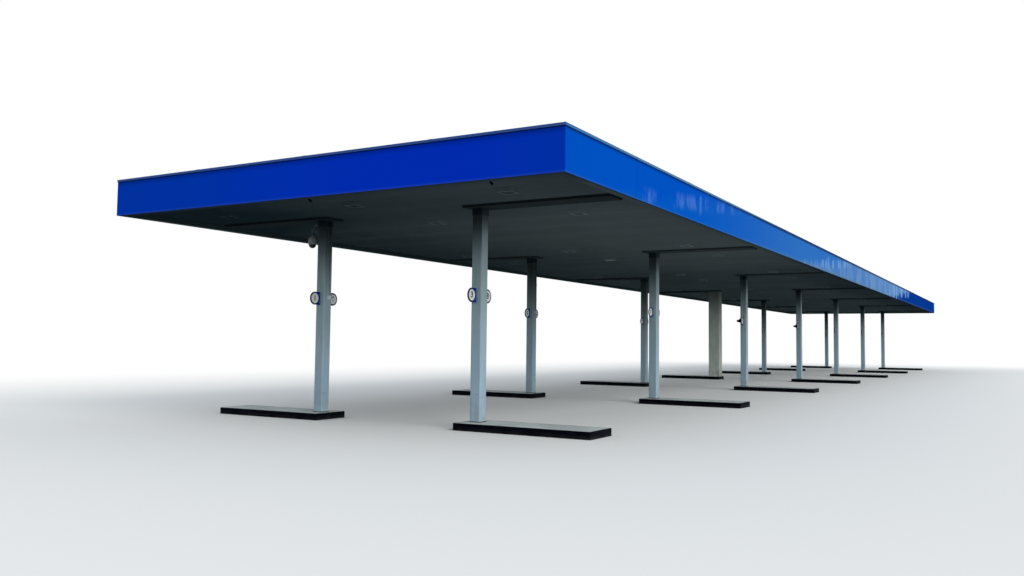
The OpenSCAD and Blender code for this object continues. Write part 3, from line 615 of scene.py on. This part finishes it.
def fascia_finish(name, axis, deep, fresh, reflection_and_wear):
    """axis is the one the face looks along; the last is how far painted reflection and chalky
    marks show.
    """
    finish, place = new_finish(name)
    x, y, z = [place.along(k) for k in range(3)]
    wide = place.stretched(1.0, 1.0, 0.6).mottle(0.16, 3.0)
    runs = place.stretched(1.0, 1.0, 0.03).mottle(11.0, 3.0)
    ragged = place.stretched(1.0, 1.0, 0.0).mottle(2.4, 5.0, 0.7)
    clumps = place.stretched(1.0, 1.0, 0.5).mottle(2.6, 5.0, 0.65)
    strokes = place.stretched(1.0, 1.0, 0.22).mottle(7.0, 5.0, 0.65)
    blotches = place.stretched(1.0, 1.0, 0.4).mottle(4.0, 3.0, 0.6).rise(0.3, 0.7)

    # Slanting steps of painted reflection, and the marks along them.
    lean = x - (z - slant_z) * slant
    torn = lean - (ragged - 0.5) * 4.0
    beyond_reflections = torn.rise(4.9, 6.0)
    chalk_and_reflection = torn.rise(-6.6, -4.6) * 0.6 + x.rise(-6.0, 3.0) * 0.4
    chalk_and_reflection = chalk_and_reflection * (clumps * 1.3 + strokes * 2.0 + blotches * 0.5 - 1.1)
    first, second, third, between = [(lean - at).math("ABSOLUTE").rise(reach, reach * 0.2)
                                     for at, reach in mark_bands]
    marks = (clumps * 0.7 + strokes * 0.3).rise(0.49, 0.6) * first * x.rise(-15.2, -14.8) * 0.21
    tears = strokes.rise(0.49, 0.62) * (clumps.rise(0.4, 0.6) * 0.4 + 0.3)
    marks = marks + tears * (second * 0.8 + third + between * 0.25)
    sway = x + (clumps - 0.5) * 0.2
    for at, low, high, half_wide in strong_runs:
        run = (sway - at).math("ABSOLUTE").rise(half_wide, half_wide * 0.3)
        run = run * z.rise(low - 0.04, low + 0.05) * z.rise(high + 0.02, high - 0.03)
        marks = marks.math("MAXIMUM", run * (x.rise(-18.0, 4.0) * 0.75 + 0.1))

    # The face, from its paint to the dirt along its lower edge and the shade under the coping.
    hem = z.rise(2.35, 2.29) * x.rise(-13.0, -3.0) * (0.30 - beyond_reflections * 0.20)
    rim = x.rise(-14.0, -8.0) * (1.0 - beyond_reflections) * reflection_and_wear * 0.25 + 0.12
    rim = z.rise(2.300, 2.282) * rim
    ends = y.rise(-1.2, 2.4) + y.rise(-1.8, -2.9) * 0.6
    shade = z.rise(2.585 + reflection_and_wear * 0.03, 2.640) * (0.34 - reflection_and_wear * 0.08)
    shade = shade + z.rise(2.640, 2.648) * 0.45
    colour = (wide.rise(0.3, 0.7) * 0.6 + runs * 0.4).blend(deep, fresh)
    colour = (ends * (1.0 - reflection_and_wear)).blend(colour, tint(0, 71, 214))
    # The pale blues from here on are painted reflection with chalky patches; past the last step
    # the navy has none.
    colour = (torn.rise(-14.2, -13.0) * 0.25 * reflection_and_wear).blend(colour, tint(8, 118, 208))
    colour = (x.rise(-14.0, -7.0) * 0.85 * reflection_and_wear).blend(colour, tint(60, 130, 213))
    colour = (chalk_and_reflection * reflection_and_wear).blend(colour, tint(120, 163, 214))
    colour = (beyond_reflections * reflection_and_wear).blend(colour, tint(6, 64, 160))
    colour = (marks * reflection_and_wear).blend(colour, tint(140, 190, 255))
    colour = (hem * reflection_and_wear).blend(colour, tint(126, 138, 130))
    colour = rim.blend(colour, tint(96, 140, 160))
    colour = shade.blend(colour, tint(2, 24, 74))

    # The back and the top edge, and the return underneath.
    way = facing(place)
    inward = (way.along(axis) * place.along(axis)).rise(-0.05, -0.4)
    upper = way.along(2).rise(0.3, 0.6)
    below = way.along(2).rise(-0.3, -0.6)
    edge = (place.along(axis).math("ABSOLUTE") - fascia_face[axis]).rise(-0.034, -0.016)
    corner = x.rise(-15.9, -16.3) * (y.rise(-3.0, 3.0) * 0.5 + 0.5)
    sheet = x.rise(-11.0, -5.0).blend(tint(118, 131, 136), tint(68, 82, 90))
    sheet = (edge * 0.6).blend(sheet, tint(34, 62, 78))
    sheet = corner.blend(sheet, tint(66, 84, 94))
    colour = inward.math("MAXIMUM", upper).blend(colour, tint(84, 104, 108))
    colour = below.blend(colour, sheet)
    wave = place.stretched(1.0, 1.0, 0.7).mottle(0.9, 2.0)
    coat(place, colour, marks * 0.2 + 0.6, shine=0.0, height=wave, depth=0.003)
    return finish


front_blue = fascia_finish("blue_sheet_painted_reflections", 1, tint(0, 84, 209), tint(0, 94, 217), 1.0)
end_blue = fascia_finish("deep_blue_sheet", 0, tint(0, 58, 228), tint(0, 63, 235), 0.0)
dress(front_blue, "front_fascia", "rear_fascia")
dress(end_blue, "left_fascia", "right_fascia")


# COPINGS
# A folded cap runs round the fascia's top edge. It is weathered bright on top and dark blue on
# its drip edge, with a painted reflection near one corner and riveted saddle plates over its
# joints.
coping_finish, place = new_finish("weathered_coping_painted_reflection")
x = place.along(0)
worn = place.mottle(5.0, 5.0, 0.6)
top = facing_up(place).rise(0.4, 0.9)
bright = x.rise(-8.0, -11.5) * x.rise(-16.2, -14.8) * place.along(2).rise(2.666, 2.669)
# Paler near the left corner and along the middle: painted reflection of the sky.
colour = x.rise(-10.5, -12.5).blend(tint(30, 66, 116), tint(76, 126, 182))
colour = x.rise(-16.498, -16.502).blend(colour, tint(68, 100, 176))
colour = (x.rise(-3.0, 1.0) * x.rise(6.0, 4.5) * 0.7).blend(colour, tint(80, 122, 150))
colour = bright.blend(colour, tint(108, 150, 174))
colour = top.blend(colour, worn.rise(0.35, 0.6).blend(tint(112, 122, 132), tint(150, 148, 138)))
coat(place, colour, worn * 0.25 + 0.45, metallic=top * 0.3, shine=0.03, height=worn, depth=0.0008)
dress(coping_finish, "front_coping", "rear_coping", "left_coping", "right_coping")

# The folded plate in section: steps out from the fascia's face, and up from the coping's top.
coping_top = 2.68
saddle_fold = ((0.0049, -0.0215), (0.0049, 0.0), (-0.045, 0.0), (-0.045, -0.012),
               (-0.0462, -0.012), (-0.0462, 0.0012), (0.0062, 0.0012), (0.0062, -0.0215))


def saddle(batch, x, y, along, out):
    """A plate folded over the coping; along and out are unit steps in plan."""
    def spot(a, o, z):
        return Vector((x, y, coping_top + z)) + Vector(along) * a + Vector(out) * o
    batch.lofted([[spot(a, o, z) for o, z in saddle_fold] for a in (-0.02, 0.02)])
    for a, o in itertools.product((-0.013, 0.013), (-0.008, -0.034)):
        batch.screw((0.003, 0.0024, 0.0012, 0.0016), spot(a, o, 0.0012), (0, 0, 1))


saddle_step = 1.5
saddles = Batch()
for side in sides:
    for k in range(-10, 11):
        saddle(saddles, k * saddle_step, side * fascia_face[1], (1, 0, 0), (0, side, 0))
    for y in (-saddle_step, 0.0, saddle_step):
        saddle(saddles, side * fascia_face[0], y, (0, 1, 0), (side, 0, 0))
saddles.piece("coping_saddles", coping_finish, "coping_metal")


# LAMPS
# Shallow square lamps under the deck: a cast body with sloping sides in the ceiling's colour and
# painted light, a paler screwed frame round a frosted lens over rows of small lights, and a
# driver box above the deck with its conduit. One lens is much paler than the rest.
lamp_finish, place = new_finish("grey_green_lamp_body")
# The body takes the ceiling's painted light and shade.
pale = ceiling_painted_light(place) + place.mottle(14.0, 4.0) * 0.3 - 0.18
coat(place, pale.blend(tint(66, 88, 96), tint(158, 170, 172)), 0.6, shine=0.0,
     height=place.mottle(160.0), depth=0.0003)
dress(lamp_finish, "lamp_housings")

glass_finish, place = new_finish("frosted_lamp_lens")
palest_lens_x = -9.25
cells = place.stretched(50.0, 50.0, 0.0)
cells = cells.node("ShaderNodeVectorMath", {"operation": "FRACTION"}, {0: cells})
dots = cells.node("ShaderNodeVectorMath", {"operation": "DISTANCE"},
                  {0: cells, 1: (0.5, 0.5, 0.0)}, 1)
lights = dots.rise(0.36, 0.22) * 0.3 - 0.15
palest_lens = ((place.along(0) - palest_lens_x).math("ABSOLUTE").rise(0.3, 0.2)
          * place.along(1).math("ABSOLUTE").rise(0.3, 0.2))
# The lens takes the ceiling's painted light and shade; one lens is much paler.
colour = (ceiling_painted_light(place) + lights).blend(tint(44, 64, 72), tint(118, 130, 132))
colour = palest_lens.blend(colour, (lights + 0.5).blend(tint(214, 222, 218), tint(244, 248, 244)))
coat(place, colour, 0.4, shine=0.0, height=dots.rise(0.45, 0.1), depth=0.0015)
dress(glass_finish, "lamp_glasses")

rim_finish, place = new_finish("pale_lamp_frame")
# The frame takes the ceiling's painted light and shade.
pale = ceiling_painted_light(place) + place.mottle(20.0, 4.0) * 0.3 - 0.15
coat(place, pale.blend(tint(108, 126, 132), tint(216, 226, 222)), 0.5, shine=0.0,
     height=place.mottle(160.0), depth=0.0003)

lamp_out, lamp_ys = 0.75, (-1.85, 0.0, 1.85)
rim_inner, rim_outer, rim_low, rim_high = 0.0655, 0.076, 2.2925, 2.2958
rim_short = 0.0650
lamp_screw = (0.0045, 0.004, 0.002, 0.0026)
bezels = Batch()
for line, side, y in itertools.product(lines, sides, lamp_ys):
    x = line + side * lamp_out
    for end, long_way in itertools.product(sides, (0, 1)):
        low = [x - rim_outer, y - rim_outer, rim_low]
        high = [x + rim_outer, y + rim_outer, rim_high]
        low[long_way], high[long_way] = sorted((x, y)[long_way] + end * reach
                                               for reach in (rim_inner, rim_outer))
        if long_way:
            low[0], high[0] = x - rim_short, x + rim_short
        bezels.bar(low, high, 0.001)
    for sx, sy in itertools.product(sides, repeat=2):
        for reach, z, steps in ((0.0708, rim_low, 10), (0.100, 2.322, 8)):
            bezels.screw(lamp_screw, (x + sx * reach, y + sy * reach, z), (0, 0, -1), steps)
bezels.piece("lamp_bezels", rim_finish, "lamp_body")

driver_finish, place = new_finish("grey_driver_box")
dust = facing_up(place).rise(0.4, 0.9) * place.mottle(8.0, 5.0).rise(0.3, 0.6)
coat(place, (dust * 0.7).blend(tint(138, 142, 143), tint(150, 141, 124)), dust * 0.3 + 0.5,
     height=place.mottle(90.0), depth=0.0003)
dress(driver_finish, "lamp_drivers")

# Each conduit rises from a driver box on to the ribs: steps in from its ends, and heights.
conduit_rise = ((0.03, 2.345), (0.07, 2.345), (0.11, 2.372), (0.16, 2.375))
rib_top, conduit_clip_out = 2.366, 0.875
conduits = Batch()
for (left, right), y in itertools.product(zip(lines, lines[1:]), lamp_ys):
    start, end = left + lamp_out, right - lamp_out
    conduits.pipe([(start + step, y, z) for step, z in conduit_rise]
                  + [(end - step, y, z) for step, z in reversed(conduit_rise)], 0.008)
    middle = (start + end) / 2
    conduits.bar((middle - 0.05, y - 0.03, rib_top), (middle + 0.05, y + 0.03, 2.404), 0.003)
    for x in (middle - conduit_clip_out, middle + conduit_clip_out):
        conduits.bar((x - 0.01, y - 0.018, rib_top), (x + 0.01, y + 0.018, 2.3845), 0.002)
conduits.piece("roof_conduits", clip_finish, "galvanised")


# NUMBER SIGNS
# Blue sheet flags with a dark round end on both flanks of each bare column. Each side has a
# raised white disc in a dark rim with the lane's number, and painted straps clamp the flag.
disc_out, disc_z = 0.1525, 1.385


def from_disc(place):
    """The distance from the middle of the nearest number disc."""
    away = place.along(0).math("PINGPONG", 2.5) - disc_out
    drop = place.along(2) - disc_z
    return (away * away + drop * drop).math("SQRT")


sign_finish, place = new_finish("blue_sign_sheet")
fade = place.mottle(12.0, 3.0)
colour = fade.rise(0.3, 0.7).blend(tint(0, 34, 150), tint(4, 48, 172))
colour = from_disc(place).rise(0.0758, 0.0752).blend(colour, tint(12, 38, 56))
coat(place, colour, 0.5, shine=0.1, height=fade, depth=0.0006)
dress(sign_finish, "sign_plates")

disc_finish, place = new_finish("white_disc_in_dark_rim")
weather = place.stretched(1.0, 1.0, 0.4).mottle(22.0, 4.0)
colour = (weather.rise(0.5, 0.75) * 0.12).blend(tint(248, 251, 253), tint(200, 206, 202))
colour = from_disc(place).rise(0.0570, 0.0582).blend(colour, tint(16, 46, 66))
coat(place, colour, 0.4, shine=0.2, height=weather, depth=0.0004)
dress(disc_finish, "sign_discs")

strap_finish, place = new_finish("painted_strap_steel")
mix = place.mottle(40.0, 4.0).rise(0.35, 0.7)
coat(place, mix.blend(tint(132, 152, 166), tint(150, 170, 183)), 0.5, shine=0.15,
     height=place.mottle(120.0), depth=0.0003)
dress(strap_finish, "sign_brackets")

number_finish, place = new_finish("dark_number_film")
mix = place.mottle(50.0).rise(0.3, 0.7)
coat(place, mix.blend(tint(2, 34, 30), tint(6, 46, 40)), 0.5, shine=0.05)

letters = bpy.data.curves.new("number", "FONT")
letters.size = 0.086
letters.extrude = 0.0004
letters.offset = 0.0028
letters.align_x = "CENTER"
letters.align_y = "CENTER"
writer = placed("number", letters)
# The first line's numbers, by row and flank. Each further line adds 4, and one column is clad.
first_numbers = {(-1, -1): 3, (-1, 1): 8, (1, -1): 1, (1, 1): 6}
clad = (1, 3)
number_out, strap_screw, screw_out = 0.0054, (0.0032, 0.0026, 0.0016, 0.002), 0.0695
numbers, screws = Batch(), Batch()
for side, (i, x), turn in itertools.product(sides, enumerate(lines), sides):
    if (side, i) == clad:
        continue
    letters.body = str(4 * i + first_numbers[side, turn])
    shape = writer.evaluated_get(bpy.context.evaluated_depsgraph_get()).to_mesh()
    for face in sides:
        home = Vector((x + turn * disc_out, side * row_y + face * number_out, disc_z))
        numbers.add([home + Vector((-face * v.co.x, face * v.co.z, v.co.y))
                     for v in shape.vertices], [list(p.vertices) for p in shape.polygons])
        for z in (1.340, 1.430):
            screws.screw(strap_screw, (x + turn * screw_out, side * row_y + face * 0.005, z),
                         (0, face, 0))
    writer.evaluated_get(bpy.context.evaluated_depsgraph_get()).to_mesh_clear()
bpy.data.objects.remove(writer)
numbers.piece("lane_numbers", number_finish, "sign_white")
screws.piece("strap_screws", bolt_finish, "bracket_paint")


# CAMERAS AND SPEAKERS
# A dome camera on a bent grey tube hangs on the left end's outer rear column, two small round
# cameras sit lower down, two slim cameras hang behind the left fascia, and two black horn
# speakers are fixed behind front flags. Conduits feed them from the arms' trays.
housing_finish, place = new_finish("light_camera_housing")
z = place.along(2)
dark = z.rise(2.0305, 2.0295) * z.rise(1.95, 1.96)
glass = dark * place.along(1).rise(1.18, 1.19)
grey = place.mottle(30.0, 3.0).rise(0.3, 0.7).blend(tint(182, 186, 184), tint(202, 205, 202))
grey = z.rise(2.141, 2.146).blend(grey, tint(92, 102, 108))
grey = z.rise(1.7, 1.6).blend(grey, tint(214, 230, 236))
coat(place, glass.blend(grey, tint(10, 11, 13)), 0.42 - glass * 0.3, shine=0.25,
     height=place.mottle(200.0), depth=0.0002)
dress(housing_finish, "dome_camera", "turret_cameras")

black_finish, place = new_finish("black_plastic_housing")
grain = place.mottle(220.0, 2.0)
# Upward faces are a paler grey.
paler_tops = facing_up(place).rise(0.2, 0.9)
coat(place, (paler_tops * 0.5).blend(tint(10, 12, 14), tint(58, 58, 58)), 0.6, shine=0.0, height=grain,
     depth=0.0003)
dress(black_finish, "end_cameras", "horn_speakers")

lens_finish, place = new_finish("camera_lens_glass")
coat(place, place.mottle(20.0).blend(tint(8, 10, 16), tint(20, 24, 38)), 0.06, shine=0.8)
aisle_face = row_y - column_half
lenses = Batch()
for x in lines[:2]:
    lenses.screw((0.009, 0.0075, 0.003, 0.0055),
                 (x + column_half / 3, aisle_face - 0.0435, 1.400), (0, -1, 0), 20)
lenses.piece("small_camera_lenses", lens_finish, "camera_plastic")

tray_bottom, feed_radius, clip_zs, clip_high = 2.2985, 0.006, (1.60, 1.85, 2.10), 0.014
feeds = Batch()
for line in lines[:2]:
    x, y = line + 0.021, aisle_face - 0.0125
    feeds.pipe([(x, y, 1.43), (x, y, tray_bottom)], feed_radius)
    for z in clip_zs:
        feeds.bar((line + 0.007, y - 0.006, z), (line + 0.035, y + 0.0125, z + clip_high), 0.001)
for line in lines[2:4]:
    x, y = line - 0.0755, -row_y + 0.030
    feeds.pipe([(x, y, 1.470), (x, y, tray_bottom)], feed_radius)
    feeds.pipe([(x, y, 1.475), (line - 0.084, y, 1.458), (line - disc_out, y + 0.035, 1.405)],
               feed_radius)
    for z in clip_zs:
        feeds.bar((line - 0.0825, y - 0.014, z), (line - 0.0625, y + 0.014, z + clip_high), 0.001)
feeds.piece("device_conduits", column_finish, "column_paint")


# FLOOR AND LIGHT
# A plain pale floor that turns to plain white away from the model, one broad soft lamp on the
# front side, and an even sky. For the light it throws back, the floor is grey under the roof and
# dark beyond it, so that the ceiling stays in even shade.
def seen_rays(tone):
    """1 for what the camera sees, straight, mirrored or through glass, and 0 for plain light."""
    rays = [tone.node("ShaderNodeLightPath", output=kind)
            for kind in ("Is Camera Ray", "Is Glossy Ray", "Is Transmission Ray")]
    return rays[0].math("MAXIMUM", rays[1]).math("MAXIMUM", rays[2])


white, floor_half = (1.0, 1.0, 1.0, 1.0), 400
floor_finish, place = new_finish("floor")
spans = [(place.along(axis).math("ABSOLUTE") - reach).math("MAXIMUM", 0.0)
         for axis, reach in ((0, 16.5), (1, 2.83))]
away = (spans[0] * spans[0] + spans[1] * spans[1]).math("SQRT")
seen = seen_rays(place)
bounce = away.rise(0.0, 2.5).blend((0.42, 0.44, 0.44, 1.0), (0.03, 0.034, 0.036, 1.0))
ground = place.node("ShaderNodeBsdfDiffuse", (), {0: seen.blend(bounce, (1.04, 1.04, 1.03, 1.0))})
backdrop = place.node("ShaderNodeEmission", (), {0: white, 1: 1.0})
ground = place.node("ShaderNodeMixShader", (),
                    {0: seen * away.rise(1.0, 12.0), 1: ground, 2: backdrop})
place.node("ShaderNodeOutputMaterial", (), {0: ground})
mesh = bpy.data.meshes.new("floor")
mesh.from_pydata([(-floor_half, -floor_half, 0), (floor_half, -floor_half, 0),
                  (floor_half, floor_half, 0), (-floor_half, floor_half, 0)], [], [(0, 1, 2, 3)])
mesh.materials.append(floor_finish)
floor = placed("floor", mesh)

sky = bpy.data.worlds.new("sky")
sky.use_nodes = True
sky.node_tree.nodes.clear()
air = Tone(sky.node_tree)
colour = seen_rays(air).blend((0.50, 0.54, 0.57, 1.0), white)
air.node("ShaderNodeOutputWorld", (),
         {0: air.node("ShaderNodeBackground", (), {0: colour, 1: 1.0})})
bpy.context.scene.world = sky

lamp = placed("soft_lamp", bpy.data.lights.new("soft_lamp", "SUN"))
lamp.data.energy = 1.8
lamp.data.angle = math.radians(45)
lamp.data.color = (1.0, 0.99, 0.97)
lamp.rotation_euler = Vector((-0.34, -0.86, 0.36)).to_track_quat("Z", "Y").to_euler()
